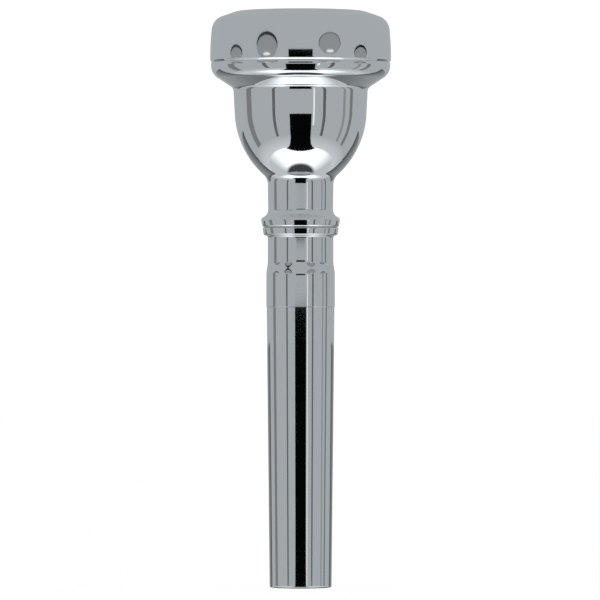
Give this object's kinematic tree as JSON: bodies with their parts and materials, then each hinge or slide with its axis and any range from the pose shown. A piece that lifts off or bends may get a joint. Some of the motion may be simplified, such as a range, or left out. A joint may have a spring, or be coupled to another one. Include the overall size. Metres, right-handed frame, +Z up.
{
  "type": "trumpet mouthpiece",
  "caption": "Silver-plated brass trumpet mouthpiece whose rim, cup and backbore unscrew, sealed by O-rings at the screwed joints.",
  "frame": {"origin": "centre of the shank's open end, which the mouthpiece stands on", "axes": "+Z up along the bore, towards the rim; X and Y are any two square directions"},
  "size_m": [0.0274, 0.0274, 0.087],
  "materials": {
    "silver_plate_rim": "silver plated, mirror buffed",
    "silver_plate_cup": "silver plated, mirror buffed",
    "silver_plate_backbore": "silver plated, mirror buffed, fine turning lines in the bore",
    "seal_rubber": "matte nitrile rubber"
  },
  "bodies": {
    "backbore": {"backbore": "silver_plate_backbore"},
    "shank_seal": {"shank_seal": "seal_rubber"},
    "cup": {"cup": "silver_plate_cup"},
    "rim_seal": {"rim_seal": "seal_rubber"},
    "rim": {"rim": "silver_plate_rim"}
  },
  "joints": [
    {"name": "cup_lift", "type": "slide", "parent": "backbore", "child": "shank_seal", "axis": [0, 0, 1], "range_m": [0, 0.0048]},
    {"name": "cup_turn", "type": "hinge", "parent": "shank_seal", "child": "cup", "pos_m": [0, 0, 0.0543], "axis": [0, 0, 1], "range_deg": [0, 2160]},
    {"name": "rim_lift", "type": "slide", "parent": "cup", "child": "rim_seal", "axis": [0, 0, 1], "range_m": [0, 0.004]},
    {"name": "rim_turn", "type": "hinge", "parent": "rim_seal", "child": "rim", "pos_m": [0, 0, 0.0792], "axis": [0, 0, 1], "range_deg": [0, 1440]}
  ],
  "couplings": [
    {"joint": "cup_turn", "follows": "cup_lift", "rad_per_m": 7854},
    {"joint": "rim_turn", "follows": "rim_lift", "rad_per_m": 6283.2}
  ]
}
